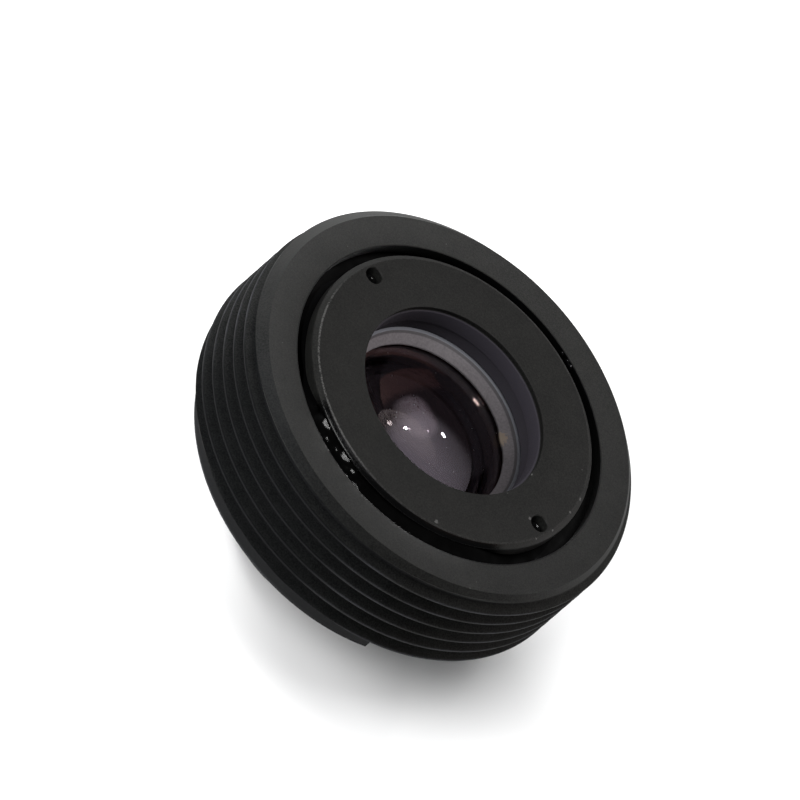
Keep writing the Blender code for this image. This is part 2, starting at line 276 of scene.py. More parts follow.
# Textures of the finishes, and the kinds of sockets that aren't numbers
ADHESIVE_CLOUDS = 2.5 / MM
CREST_PATCHES = 0.7 / MM
NICK_ROUGHNESS = 22.0 / MM
NICK_EDGE = (0.7, 1.1)
DUST_SHARPNESS = 40.0
DUST_RARITY = 0.6
FLOOR_CLOUDS = 40.0
SOCKET_KINDS = {"Side": "Vector", "Place": "Vector", "Normal": "Vector", "Color": "Color"}

# Nicks and painted glints on the ring's top: radius in mm, bearing, and size in mm
RING_NICKS_AND_GLINTS = [
    (4.29, -5.6, 0.08),
    (4.29, -15.0, 0.08),
    (4.24, 7.2, 0.07),
    (4.3, 15.9, 0.12),
    (3.72, -12.3, 0.1),
    (4.13, -59.8, 0.13),
    (2.82, 7.7, 0.07),
]

# Light, as radiance, with distances and sizes in metres and directions as azimuth and elevation
FLOOR_LEFT_RADIANCE = 26.0
FLOOR_FRONT_RADIANCE = 15.5
FLOOR_TOP_RADIANCE = 5.8
TOP_RADIANCE = 1.6
SEAT_RADIANCE = 7.5
FRONT_RADIANCE = 9.0
LEFT_RADIANCE = 2.6
RIGHT_RADIANCE = 3.2
FLANK_RADIANCE = 6.0
FLANK_TINT = (0.9, 0.96, 1.1)
STUDIO_DISTANCE = 0.45
STUDIO_BOX = (0.2, 0.2)
NEAR_RADIANCE = 6.6
NEAR_DISTANCE = 0.03
NEAR_BOX = (0.02, 0.02)
SPARKLE_RADIANCE = 420.0
SPARKLE_DISTANCE = 0.35
SPARKLE_BOX = (0.14, 0.14)
LAMP_RADIANCE = 200.0
LAMP_DISTANCE = 0.25
LAMP_BOX = (0.006, 0.006)
LAMP_DIRECTION = (7, 42.7)
HIGH_LAMP_BOX = (0.005, 0.005)
HIGH_LAMP_DIRECTION = (-6, 56)
FAR_LAMP_RADIANCE = 400.0
FAR_LAMP_BOX = (0.007, 0.007)
FAR_LAMP_DIRECTION = (3, 12)
FAR_LAMP_TINT = (1, 0.75, 0.65)
WORLD_COLOUR = (0.93, 0.96, 1.0, 1)
WORLD_STRENGTH = 0.12

# Glowing window, with its sizes as shares of its distance
WINDOW_RADIANCE = 1.75
WINDOW_DISTANCE = 0.3
WINDOW_DIRECTION = (14, 55)
WINDOW_PANEL = 0.8
WINDOW_HALF_WIDTH = 0.28
WINDOW_HALF_HEIGHT = 0.34
WINDOW_DROP = 0.04
WINDOW_ROUNDING = 3.0
WINDOW_EDGE = (1.25, 0.2)
WINDOW_SLANT = 0.69
WINDOW_SLANT_EDGE = (-0.45, -0.3)
WINDOW_FADE = (-0.42, 0.1)
WINDOW_FADED = 0.2
WINDOW_WARM_EDGE = (-0.25, -0.42)


def deg(angle):
    return math.radians(angle)


def round_point(radius, bearing, height):
    """A point at a radius and bearing about the optical axis."""
    return Vector((radius * math.cos(deg(bearing)), radius * math.sin(deg(bearing)), height))


def add_object(name, data):
    made = bpy.data.objects.new(name, data)
    bpy.context.collection.objects.link(made)
    return made


def to_mesh(name, bm):
    """Turns a bmesh into a mesh, and frees it."""
    mesh = bpy.data.meshes.new(name)
    bm.to_mesh(mesh)
    bm.free()
    return mesh


# Camera and light


def make_camera():
    """A long lens at the photograph's angle, rolled so that the optical axis leans to the right."""
    toward = Vector((0, -math.cos(deg(CAMERA_ELEVATION)), math.sin(deg(CAMERA_ELEVATION))))
    turn = toward.to_track_quat("Z", "Y").to_matrix() @ Matrix.Rotation(deg(CAMERA_ROLL), 3, "Z")
    middle = PICTURE_PIXELS / 2
    right = (middle - FACE_CENTRE_PIXEL[0]) / PIXELS_PER_MM * MM
    up = (FACE_CENTRE_PIXEL[1] - middle) / PIXELS_PER_MM * MM
    data = bpy.data.cameras.new("camera")
    data.sensor_width = 36.0
    data.lens = data.sensor_width * CAMERA_DISTANCE / (PICTURE_PIXELS / PIXELS_PER_MM * MM)
    data.clip_start = MM
    data.clip_end = CAMERA_DISTANCE * 30
    camera = add_object("camera", data)
    place = Vector((0, 0, REAR_FACE)) + turn @ Vector((right, up, CAMERA_DISTANCE))
    camera.matrix_world = Matrix.Translation(place) @ turn.to_4x4()
    bpy.context.scene.camera = camera


def softbox(name, direction, distance, size, radiance, tint=(1, 1, 1)):
    """An area light that faces the rear face's centre, with its brightness given as radiance."""
    width, height = size
    data = bpy.data.lights.new(name, "AREA")
    data.shape = "RECTANGLE"
    data.size = width
    data.size_y = height
    data.energy = radiance * math.pi * width * height
    data.color = tint
    light = add_object(name, data)
    light.matrix_world = facing_place(direction, distance)
    light.visible_camera = False
    return light


def facing_place(direction, distance):
    aim = Vector(direction).normalized()
    turn = aim.to_track_quat("Z", "Y").to_matrix().to_4x4()
    return Matrix.Translation(Vector((0, 0, REAR_FACE)) + aim * distance) @ turn


def sky_direction(azimuth, elevation):
    """Azimuth is counted from +Y towards +X."""
    return round_point(math.cos(deg(elevation)), 90 - azimuth, math.sin(deg(elevation)))


def link_light(light, pieces, state):
    """With INCLUDE the light reaches only these pieces, and with EXCLUDE all but these."""
    group = bpy.data.collections.new(light.name + " reach")
    for piece in pieces:
        group.objects.link(piece)
    for member in group.collection_objects:
        member.light_linking.link_state = state
    light.light_linking.receiver_collection = group


def place_light(receivers, *box):
    """A softbox that reaches only these pieces."""
    light = softbox(*box)
    link_light(light, receivers, "INCLUDE")
    return light


def make_lights(floor, barrel, ring, seat, adhesive, glass):
    """The floor, the metal, the adhesive and the glass have lights of their own."""
    away = STUDIO_DISTANCE
    place_light([floor], "floor_left", (-0.87, 0.32, 0.37), away, (0.18, 0.18), FLOOR_LEFT_RADIANCE)
    place_light([floor], "floor_front", (-0.33, -0.72, 0.6), away, (0.25, 0.2), FLOOR_FRONT_RADIANCE)
    place_light([floor], "floor_top", (-0.1, -0.1, 1.0), away, (0.3, 0.3), FLOOR_TOP_RADIANCE)
    place_light([barrel, ring, seat], "top_light", (-0.1, 0.15, 1.0), away, (0.4, 0.4), TOP_RADIANCE)
    place_light([seat], "seat_light", (0.4, -0.3, 0.87), away, STUDIO_BOX, SEAT_RADIANCE)
    place_light([ring], "front_light", (-0.44, -0.63, 0.64), away, STUDIO_BOX, FRONT_RADIANCE)
    place_light([barrel, ring], "left_light", (-0.7, 0.7, 0.15), away, STUDIO_BOX, LEFT_RADIANCE)
    place_light([barrel, ring], "right_light", (0.75, 0.6, 0.2), away, STUDIO_BOX, RIGHT_RADIANCE)
    flank = (-0.85, -0.5, 0.3)
    place_light([barrel], "flank_light", flank, away, STUDIO_BOX, FLANK_RADIANCE, FLANK_TINT)
    place_light([barrel], "near_light", (-0.5, 0.5, 0.7), NEAR_DISTANCE, NEAR_BOX, NEAR_RADIANCE)
    mirror = sky_direction(*LAMP_DIRECTION)
    place_light([adhesive], "sparkle_light", mirror, SPARKLE_DISTANCE, SPARKLE_BOX, SPARKLE_RADIANCE)
    softbox("lamp", mirror, LAMP_DISTANCE, LAMP_BOX, LAMP_RADIANCE)
    high = sky_direction(*HIGH_LAMP_DIRECTION)
    place_light([glass], "high_lamp", high, LAMP_DISTANCE, HIGH_LAMP_BOX, LAMP_RADIANCE)
    low = sky_direction(*FAR_LAMP_DIRECTION)
    box = (low, LAMP_DISTANCE, FAR_LAMP_BOX, FAR_LAMP_RADIANCE, FAR_LAMP_TINT)
    far_lamp = place_light([glass], "far_lamp", *box)
    # The ring doesn't shade the far lamp
    far_lamp.light_linking.blocker_collection = far_lamp.light_linking.receiver_collection
    link_light(make_window(), [floor, adhesive], "EXCLUDE")


def make_window():
    """A glowing panel with soft edges, whose reflection is the pale shape in the glass."""
    bm = bmesh.new()
    bmesh.ops.create_grid(bm, x_segments=1, y_segments=1, size=WINDOW_PANEL * WINDOW_DISTANCE)
    mesh = to_mesh("window", bm)
    mesh.materials.append(window_glow())
    window = add_object("window", mesh)
    window.matrix_world = facing_place(sky_direction(*WINDOW_DIRECTION), WINDOW_DISTANCE)
    window.visible_camera = False
    window.visible_shadow = False
    return window


def make_world():
    """Dim cool surroundings that light the lens, and a plain white one that the camera sees."""
    world = bpy.data.worlds.new("surroundings")
    bpy.context.scene.world = world
    world.use_nodes = True
    tree = world.node_tree
    tree.nodes.clear()
    lit = node(tree, "ShaderNodeBackground", {"Color": WORLD_COLOUR, "Strength": WORLD_STRENGTH})
    seen = node(tree, "ShaderNodeBackground", {"Color": WHITE, "Strength": 1.0})
    path = node(tree, "ShaderNodeLightPath")
    shown = {0: path.outputs["Is Camera Ray"], 1: lit.outputs[0], 2: seen.outputs[0]}
    mix = node(tree, "ShaderNodeMixShader", shown)
    node(tree, "ShaderNodeOutputWorld", {"Surface": mix.outputs[0]})


# Node helpers


def new_material(name, roughness, metallic=0.0, specular=0.5):
    material = bpy.data.materials.new(name)
    material.use_nodes = True
    shader = material.node_tree.nodes["Principled BSDF"]
    shader.inputs["Roughness"].default_value = roughness
    shader.inputs["Metallic"].default_value = metallic
    shader.inputs["Specular IOR Level"].default_value = specular
    return material, material.node_tree, shader


def set_skin(tree, shader, colour, roughness):
    tree.links.new(colour, shader.inputs["Base Color"])
    tree.links.new(roughness, shader.inputs["Roughness"])


def node(tree, kind, inputs=None, **settings):
    """Adds a node, sets its properties, and links or fills its inputs."""
    made = tree.nodes.new(kind)
    for name, value in settings.items():
        setattr(made, name, value)
    for name, value in (inputs or {}).items():
        if isinstance(value, bpy.types.NodeSocket):
            tree.links.new(value, made.inputs[name])
        else:
            made.inputs[name].default_value = value
    return made


def math_node(tree, operation, first, second=0.0, clamp=False):
    made = node(tree, "ShaderNodeMath", {0: first, 1: second}, operation=operation, use_clamp=clamp)
    return made.outputs[0]


def product(tree, first, *others):
    for other in others:
        first = math_node(tree, "MULTIPLY", first, other)
    return first


def noise_value(tree, point, scale, detail, **others):
    inputs = {"Vector": point, "Scale": scale, "Detail": detail, **others}
    return node(tree, "ShaderNodeTexNoise", inputs).outputs["Fac"]


def smooth_range(tree, value, low, high, to_low=0.0, to_high=1.0):
    inputs = {"Value": value, "From Min": low, "From Max": high, "To Min": to_low, "To Max": to_high}
    made = node(tree, "ShaderNodeMapRange", inputs, interpolation_type="SMOOTHSTEP")
    return made.outputs["Result"]


def edge_range(tree, value, edge, reaches):
    """Rises from 0 to 1 between the first and the second reach from an edge."""
    return smooth_range(tree, value, edge + reaches[0], edge + reaches[1])


def mix_colour(tree, factor, first, second):
    inputs = {0: factor, 6: first, 7: second}
    return node(tree, "ShaderNodeMix", inputs, data_type="RGBA").outputs[2]


def object_point(tree):
    return tree.nodes.new("ShaderNodeTexCoord").outputs["Object"]


def new_group(name, inputs, outputs):
    """A shader node group, from its inputs with their values and its outputs' names."""
    group = bpy.data.node_groups.new(name, "ShaderNodeTree")
    for label in [*inputs, *outputs]:
        kind = "NodeSocket" + SOCKET_KINDS.get(label, "Float")
        way = "INPUT" if label in inputs else "OUTPUT"
        socket = group.interface.new_socket(name=label, in_out=way, socket_type=kind)
        if label in inputs:
            socket.default_value = inputs[label]
    return group, group.nodes.new("NodeGroupInput"), group.nodes.new("NodeGroupOutput")


def place_group(tree, group, inputs=None):
    return node(tree, "ShaderNodeGroup", inputs, node_tree=group)


# Effects that several finishes share


def make_turned_place_group():
    """Radius and height about the optical axis in millimetres, and degrees off a given side."""
    outputs = ["Radius", "Height", "Off side"]
    group, given, out = new_group("turned place", {"Side": (1, 0, 0)}, outputs)
    point = object_point(group)
    parts = node(group, "ShaderNodeSeparateXYZ", {0: point}).outputs
    squares = [product(group, parts[axis], parts[axis]) for axis in "XY"]
    radius = math_node(group, "SQRT", math_node(group, "ADD", *squares))
    group.links.new(product(group, radius, 1 / MM), out.inputs["Radius"])
    group.links.new(product(group, parts["Z"], 1 / MM), out.inputs["Height"])
    both = {0: point, 1: given.outputs["Side"]}
    along = node(group, "ShaderNodeVectorMath", both, operation="DOT_PRODUCT")
    cosine = math_node(group, "DIVIDE", along.outputs["Value"], radius)
    off_side = math_node(group, "DEGREES", math_node(group, "ARCCOSINE", cosine))
    group.links.new(off_side, out.inputs["Off side"])
    return group


def make_grain_group():
    """Fine speckle of an etched and dyed surface: a tone from 0 to 1 and a height."""
    group, given, out = new_group("etched grain", {"Grains per mm": 18.0}, ["Tone", "Height"])
    scale = product(group, given.outputs["Grains per mm"], 1 / MM)
    point = object_point(group)
    fine = noise_value(group, point, scale, 3.0, Roughness=0.6)
    coarse = noise_value(group, point, product(group, scale, 0.06), 4.0)
    both = math_node(group, "ADD", fine, product(group, coarse, 0.25))
    group.links.new(smooth_range(group, both, 0.35, 0.9), out.inputs["Tone"])
    group.links.new(fine, out.inputs["Height"])
    return group


def make_turning_group(turned_place):
    """Fine tool marks that run round the axis, on faces and walls alike."""
    group, given, out = new_group("turning marks", {"Marks per mm": 14.0}, ["Height"])
    place = place_group(group, turned_place)
    section = {"X": place.outputs["Radius"], "Y": place.outputs["Height"]}
    point = node(group, "ShaderNodeCombineXYZ", section).outputs[0]
    marks = noise_value(group, point, given.outputs["Marks per mm"], 4.0)
    group.links.new(marks, out.inputs["Height"])
    return group


def make_dust_group():
    """A mask of scattered pale specks."""
    group, given, out = new_group("dust", {"Specks per mm": 3.0, "Size": 0.06}, ["Mask"])
    scale = product(group, given.outputs["Specks per mm"], 1 / MM)
    cells = node(group, "ShaderNodeTexVoronoi", {"Vector": object_point(group), "Scale": scale})
    chance = node(group, "ShaderNodeSeparateColor", {0: cells.outputs["Color"]})
    size = product(group, given.outputs["Size"], chance.outputs["Red"])
    gap = math_node(group, "SUBTRACT", size, cells.outputs["Distance"])
    near = math_node(group, "MULTIPLY", gap, DUST_SHARPNESS, clamp=True)
    rare = math_node(group, "GREATER_THAN", chance.outputs["Green"], DUST_RARITY)
    group.links.new(product(group, near, rare), out.inputs["Mask"])
    return group


def make_nick_group():
    """A mask of one ragged nick, at a place and of a size in millimetres."""
    group, given, out = new_group("nick", {"Place": (0, 0, 0), "Size": 0.1}, ["Mask"])
    point = object_point(group)
    ends = {0: point, 1: given.outputs["Place"]}
    away = node(group, "ShaderNodeVectorMath", ends, operation="DISTANCE").outputs["Value"]
    rough = noise_value(group, point, NICK_ROUGHNESS, 3.0)
    reach = product(group, given.outputs["Size"], rough, MM)
    share = math_node(group, "DIVIDE", away, reach)
    group.links.new(smooth_range(group, share, *NICK_EDGE, 1.0, 0.0), out.inputs["Mask"])
    return group


def make_anodised_group(grain_group, turning_group, dust_group):
    """Black anodising with an etched grain, faint tool marks and a little dust."""
    outputs = ["Color", "Tone", "Roughness", "Normal"]
    group, _, out = new_group("black anodising", {}, outputs)
    grain = place_group(group, grain_group, {"Grains per mm": 24.0})
    tone = grain.outputs["Tone"]
    colour = mix_colour(group, tone, ANODISED_DARK, ANODISED_PALE)
    dust = place_group(group, dust_group, {"Specks per mm": 2.5, "Size": 0.06})
    dusted = product(group, dust.outputs["Mask"], 0.2)
    group.links.new(mix_colour(group, dusted, colour, METAL_DUST), out.inputs["Color"])
    group.links.new(tone, out.inputs["Tone"])
    roughness = smooth_range(group, tone, 0.0, 1.0, 0.5, 0.64)
    group.links.new(roughness, out.inputs["Roughness"])
    turning = place_group(group, turning_group, {"Marks per mm": 16.0})
    marks = {"Height": turning.outputs["Height"], "Distance": 0.004 * MM, "Strength": 0.5}
    pits = {"Height": grain.outputs["Height"], "Distance": 0.005 * MM, "Strength": 0.6}
    pits["Normal"] = node(group, "ShaderNodeBump", marks).outputs[0]
    group.links.new(node(group, "ShaderNodeBump", pits).outputs[0], out.inputs["Normal"])
    return group


def make_groups():
    place = make_turned_place_group()
    grain = make_grain_group()
    dust = make_dust_group()
    anodised = make_anodised_group(grain, make_turning_group(place), dust)
    nick = make_nick_group()
    return {"place": place, "grain": grain, "dust": dust, "nick": nick, "anodised": anodised}


# Finishes


def use_anodising(tree, shader, groups):
    skin = place_group(tree, groups["anodised"])
    tree.links.new(skin.outputs["Normal"], shader.inputs["Normal"])
    return skin


def anodised_barrel(groups):
    """Painted shade in grooves and on the boss, black round the gap, crest wear, and painted
    highlights on crests and boss rim.
    """
    material, tree, shader = new_material("black anodised barrel", 0.6, specular=0.16)
    skin = use_anodising(tree, shader, groups)
    tone = skin.outputs["Tone"]
    place = place_group(tree, groups["place"], {"Side": round_point(1.0, CREST_SHADE_BEARING, 0)})
    radius = place.outputs["Radius"]
    height = place.outputs["Height"]
    off_side = place.outputs["Off side"]
    under_bevel = edge_range(tree, height, REAR_FACE / MM, BEVEL_REACHES)
    over_boss = edge_range(tree, height, (REAR_FACE - THREAD_LENGTH) / MM, THREAD_END_REACHES)
    colour = painted_barrel_shade(tree, skin.outputs["Color"], radius, under_bevel, over_boss)
    colour = crest_wear_and_highlight(tree, colour, radius, off_side, tone)
    colour = black_gap_wall(tree, colour, radius, height)
    colour = boss_rim_highlight(tree, colour, height, off_side, tone)
    outside = math_node(tree, "GREATER_THAN", radius, FLANK_RADIUS)
    dull_and_shaded = product(tree, outside, under_bevel, FLANK_ROUGHNESS)
    set_skin(tree, shader, colour, math_node(tree, "MAXIMUM", skin.outputs["Roughness"], dull_and_shaded))
    return material


def painted_barrel_shade(tree, colour, radius, under_bevel, over_boss):
    """Painted shade down in the thread's grooves and on the boss."""
    groove = edge_range(tree, radius, THREAD_RADIUS / MM, GROOVE_REACHES)
    groove = product(tree, groove, under_bevel, over_boss, GROOVE_SHADE)
    colour = mix_colour(tree, groove, colour, PAINTED_SHADE_METAL)
    boss = math_node(tree, "SUBTRACT", 1.0, over_boss)
    return mix_colour(tree, product(tree, boss, BOSS_SHADE), colour, PAINTED_SHADE_METAL)


def crest_wear_and_highlight(tree, colour, radius, off_side, tone):
    """Wear and painted highlight, pale and patchy along the thread's crests, with painted shade on
    one side.
    """
    crest = edge_range(tree, radius, THREAD_RADIUS / MM, CREST_REACHES)
    patches = noise_value(tree, object_point(tree), CREST_PATCHES, 4.0)
    patchy = smooth_range(tree, patches, 0.35, 0.6, 0.15, 1.0)
    wear_and_highlight = product(tree, smooth_range(tree, tone, 0.1, 0.75, 0.45, 1.0), patchy)
    dull_and_shaded = smooth_range(tree, off_side, *CREST_SHADE_FADE)
    wear_and_highlight = product(tree, crest, math_node(tree, "MAXIMUM", wear_and_highlight, dull_and_shaded))
    return mix_colour(tree, wear_and_highlight, colour, mix_colour(tree, dull_and_shaded, CREST_WEAR_AND_HIGHLIGHT, CREST_PAINTED_SHADE))


def black_gap_wall(tree, colour, radius, height):
    """Black on the bore's wall, down to a depth below the rear face, round the gap that the adhesive
    fills.
    """
    wall = edge_range(tree, radius, REAR_BORE_RADIUS / MM, GAP_WALL_REACHES)
    high = math_node(tree, "GREATER_THAN", height, REAR_FACE / MM - GAP_WALL_DEPTH)
    return mix_colour(tree, product(tree, wall, high), colour, GAP_WALL_BLACK)


def boss_rim_highlight(tree, colour, height, off_side, tone):
    """A painted highlight along the boss's lower edge, strongest where the crests get painted shade.
    """
    foot = NOSE_LENGTH / MM
    low = edge_range(tree, height, foot, BOSS_RIM_REACHES)
    on_boss = math_node(tree, "GREATER_THAN", height, foot - BOSS_RIM_FOOT)
    side = smooth_range(tree, off_side, *BOSS_RIM_HIGHLIGHT_FADE, 0.1, 0.8)
    grainy = smooth_range(tree, tone, 0.15, 0.6, 0.4, 1.0)
    return mix_colour(tree, product(tree, low, on_boss, side, grainy), colour, BOSS_RIM_HIGHLIGHT)


def anodised_ring(groups):
    """Painted lilac-grey light in its bore, wear, nicks and painted glints on top, and black where
    adhesive lies on its bevel.
    """
    material, tree, shader = new_material("black anodised ring", 0.6, specular=0.22)
    skin = use_anodising(tree, shader, groups)
    place = place_group(tree, groups["place"], {"Side": round_point(1.0, RING_WEAR_AND_HIGHLIGHT_BEARING, 0)})
    radius = place.outputs["Radius"]
    height = place.outputs["Height"]
    # Painted light: the bore wall below the mouth is paler lilac-grey
    inside = edge_range(tree, radius, RING_BORE_RADIUS / MM, BORE_REACHES)
    below = edge_range(tree, height, (RING_TOP - RING_MOUTH_DEPTH) / MM, MOUTH_FOOT_REACHES)
    colour = mix_colour(tree, product(tree, inside, below), skin.outputs["Color"], BORE_PAINTED_LIGHT)
    worn_and_lit = ring_edge_wear_and_highlight(tree, radius, height, place.outputs["Off side"], skin.outputs["Tone"])
    for nick_radius, bearing, size in RING_NICKS_AND_GLINTS:
        middle = round_point(nick_radius * MM, bearing, RING_TOP)
        nick = place_group(tree, groups["nick"], {"Place": middle, "Size": size})
        worn_and_lit = math_node(tree, "MAXIMUM", worn_and_lit, nick.outputs["Mask"])
    colour = mix_colour(tree, worn_and_lit, colour, RING_WEAR_AND_HIGHLIGHT)
    near = place_group(tree, groups["place"], {"Side": round_point(1.0, BEAD_CLIMB_BEARING, 0)})
    glued = smooth_range(tree, near.outputs["Off side"], *GLUED_FADE)
    bevel = edge_range(tree, radius, (RING_RADIUS - RING_BEVEL_WIDTH) / MM, GLUED_RIM_REACHES)
    glued = product(tree, glued, bevel)
    colour = mix_colour(tree, glued, colour, GLUED_RIM)
    polish = product(tree, glued, GLUED_RIM_POLISH)
    set_skin(tree, shader, colour, math_node(tree, "ADD", skin.outputs["Roughness"], polish))
    return material


def ring_edge_wear_and_highlight(tree, radius, height, off_side, tone):
    """Wear and painted highlight along the outer edge of the ring's top, most on one side."""
    edge = math_node(tree, "SUBTRACT", radius, (RING_RADIUS - RING_BEVEL_WIDTH) / MM)
    edge = smooth_range(tree, math_node(tree, "ABSOLUTE", edge), *RING_EDGE_REACHES)
    top = edge_range(tree, height, RING_TOP / MM, RING_TOP_REACHES)
    grainy = smooth_range(tree, tone, 0.2, 0.7, 0.1, 0.7)
    side = smooth_range(tree, off_side, *RING_WEAR_AND_HIGHLIGHT_FADE, 0.12, 1.0)
    worn_and_lit = product(tree, edge, top, grainy, side)
    return math_node(tree, "MULTIPLY", worn_and_lit, RING_EDGE_WEAR_AND_HIGHLIGHT, clamp=True)


def wet_adhesive():
    """Glossy black adhesive, a little duller in patches."""
    material, tree, shader = new_material("wet black adhesive", 0.05, specular=0.12)
    cloud = noise_value(tree, object_point(tree), ADHESIVE_CLOUDS, 3.0)
    colour = mix_colour(tree, cloud, ADHESIVE_DARK, ADHESIVE_PALE)
    set_skin(tree, shader, colour, smooth_range(tree, cloud, 0.3, 0.7, 0.03, 0.07))
    return material


def frosted_seat(groups):
    """Pale bare metal: a painted highlight on the lip, painted shade on the step under it, and an
    even etched cone.
    """
    material, tree, shader = new_material("frosted seat", 0.6, metallic=0.1)
    grain = place_group(tree, groups["grain"], {"Grains per mm": 16.0})
    height = place_group(tree, groups["place"]).outputs["Height"]
    colour = mix_colour(tree, grain.outputs["Tone"], SEAT_DARK, SEAT_PALE)
    step = edge_range(tree, height, SEAT_TOP / MM, SEAT_STEP_REACHES)
    colour = mix_colour(tree, product(tree, step, SEAT_STEP_SHADE), colour, SEAT_STEP_PAINTED_SHADE)
    lip = edge_range(tree, height, SEAT_TOP / MM, SEAT_LIP_REACHES)
    colour = mix_colour(tree, lip, colour, SEAT_LIP_HIGHLIGHT)
    throat_top = SEAT_BOTTOM + SEAT_THROAT_HEIGHT
    chip_place = round_point(SEAT_THROAT_RADIUS - CHIP_REACH, CHIP_BEARING, throat_top)
    chip = place_group(tree, groups["nick"], {"Place": chip_place, "Size": CHIP_STAIN})
    colour = mix_colour(tree, chip.outputs["Mask"], colour, SEAT_CHIP)
    tree.links.new(colour, shader.inputs["Base Color"])
    pits = {"Height": grain.outputs["Height"], "Distance": 0.004 * MM, "Strength": 0.6}
    tree.links.new(node(tree, "ShaderNodeBump", pits).outputs[0], shader.inputs["Normal"])
    return material


def coated_glass(groups, name, ior, coating, tint):
    """Polished glass with a thin coating, which weakens and tints its reflections."""
    material, tree, shader = new_material(name, 0.01)
    shader.inputs["IOR"].default_value = ior
    shader.inputs["Transmission Weight"].default_value = 1.0
    shader.inputs["Specular Tint"].default_value = coating
    dust = place_group(tree, groups["dust"], {"Specks per mm": 5.0, "Size": 0.1}).outputs["Mask"]
    colour = mix_colour(tree, dust, tint, GLASS_DUST)
    set_skin(tree, shader, colour, smooth_range(tree, dust, 0.0, 1.0, 0.012, 0.5))
    return material


def baffle_black(groups):
    """Blackened metal inside the lens, uneven in its tone and gloss."""
    material, tree, shader = new_material("baffle black", 0.4, specular=0.3)
    tone = place_group(tree, groups["grain"], {"Grains per mm": 25.0}).outputs["Tone"]
    colour = mix_colour(tree, tone, BAFFLE_DARK, BAFFLE_PALE)
    set_skin(tree, shader, colour, smooth_range(tree, tone, 0.0, 1.0, 0.35, 0.5))
    return material


def window_glow():
    """Brightest in its upper half, soft at its rounded edge, and cut off aslant at one corner."""
    material, tree, shader = new_material("window glow", 1.0, specular=0.0)
    shader.inputs["Base Color"].default_value = BLACK
    shader.inputs["Emission Strength"].default_value = WINDOW_RADIANCE
    parts = node(tree, "ShaderNodeSeparateXYZ", {0: object_point(tree)})
    across = math_node(tree, "DIVIDE", parts.outputs["X"], WINDOW_DISTANCE)
    up = math_node(tree, "DIVIDE", parts.outputs["Y"], WINDOW_DISTANCE)
    lifted = math_node(tree, "ADD", up, WINDOW_DROP)
    powers = []
    for offset, half in ((across, WINDOW_HALF_WIDTH), (lifted, WINDOW_HALF_HEIGHT)):
        share = math_node(tree, "ABSOLUTE", math_node(tree, "DIVIDE", offset, half))
        powers.append(math_node(tree, "POWER", share, WINDOW_ROUNDING))
    shape = smooth_range(tree, math_node(tree, "ADD", *powers), *WINDOW_EDGE)
    slant = math_node(tree, "SUBTRACT", up, product(tree, across, WINDOW_SLANT))
    corner = smooth_range(tree, slant, *WINDOW_SLANT_EDGE)
    glow = smooth_range(tree, up, *WINDOW_FADE, WINDOW_FADED, 1.0)
    warm = smooth_range(tree, across, *WINDOW_WARM_EDGE)
    around = mix_colour(tree, warm, WINDOW_SURROUND, WINDOW_WARM)
    colour = mix_colour(tree, product(tree, glow, shape, corner), around, WHITE)
    tree.links.new(colour, shader.inputs["Emission Color"])
    return material


def floor_white():
    """Nearly even white, and clear from below, so that the nose shows there."""
    material, tree, shader = new_material("floor white", 0.9, specular=0.1)
    cloud = noise_value(tree, object_point(tree), FLOOR_CLOUDS, 2.0)
    colour = mix_colour(tree, cloud, FLOOR_DARK, FLOOR_PALE)
    tree.links.new(colour, shader.inputs["Base Color"])
    below = node(tree, "ShaderNodeNewGeometry").outputs["Backfacing"]
    clear = node(tree, "ShaderNodeBsdfTransparent").outputs[0]
    either = node(tree, "ShaderNodeMixShader", {0: below, 1: shader.outputs[0], 2: clear})
    tree.links.new(either.outputs[0], tree.nodes["Material Output"].inputs["Surface"])
    return material


# Modelling helpers


def wire_section(points, closed):
    """A flat outline of (radius, height) or (radius, height, rounding) points at bearing 0."""
    bm = bmesh.new()
    corners = [bm.verts.new((point[0], 0.0, point[1])) for point in points]
    for pair in zip(corners, corners[1:]):
        bm.edges.new(pair)
    if closed:
        bm.edges.new((corners[-1], corners[0]))
    for corner, point in zip(corners, points):
        if len(point) > 2:
            bmesh.ops.bevel(
                bm, geom=[corner], offset=point[2], offset_type="OFFSET", segments=3,
                profile=0.5, affect="VERTICES", material=-1,
            )
    return bm


def spin_section(bm, columns):
    bmesh.ops.spin(
        bm, geom=bm.verts[:] + bm.edges[:], axis=(0, 0, 1), cent=(0, 0, 0),
        angle=math.tau, steps=columns, use_merge=True,
    )
    bmesh.ops.remove_doubles(bm, verts=bm.verts, dist=MERGE_DISTANCE)


def turned(points, columns, closed=True):
    bm = wire_section(points, closed)
    spin_section(bm, columns)
    bmesh.ops.recalc_face_normals(bm, faces=bm.faces)
    return bm


def finish_piece(name, bm, material, replaced):
    """Makes the object, which sits at the origin, and ties it to the frame."""
    mesh = to_mesh(name, bm)
    mesh.shade_smooth()
    mesh.set_sharp_from_angle(angle=deg(SHARP_ANGLE))
    mesh.materials.append(material)
    piece = add_object(name, mesh)
    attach(piece, "root")
    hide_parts(replaced)
    return piece


def cut_away(bm, cutters):
    """Takes the cutters' shapes out of a closed shell, and gives back a new shell."""
    bodies = [add_object("cut", to_mesh("cut", shape)) for shape in [bm] + cutters]
    for cutter in bodies[1:]:
        modifier = bodies[0].modifiers.new("cut", "BOOLEAN")
        modifier.operation = "DIFFERENCE"
        modifier.solver = "EXACT"
        modifier.object = cutter
    ready = bodies[0].evaluated_get(bpy.context.evaluated_depsgraph_get())
    result = bmesh.new()
    result.from_mesh(ready.to_mesh())
    ready.to_mesh_clear()
    for body in bodies:
        mesh = body.data
        bpy.data.objects.remove(body)
        bpy.data.meshes.remove(mesh)
    return result


# Barrel


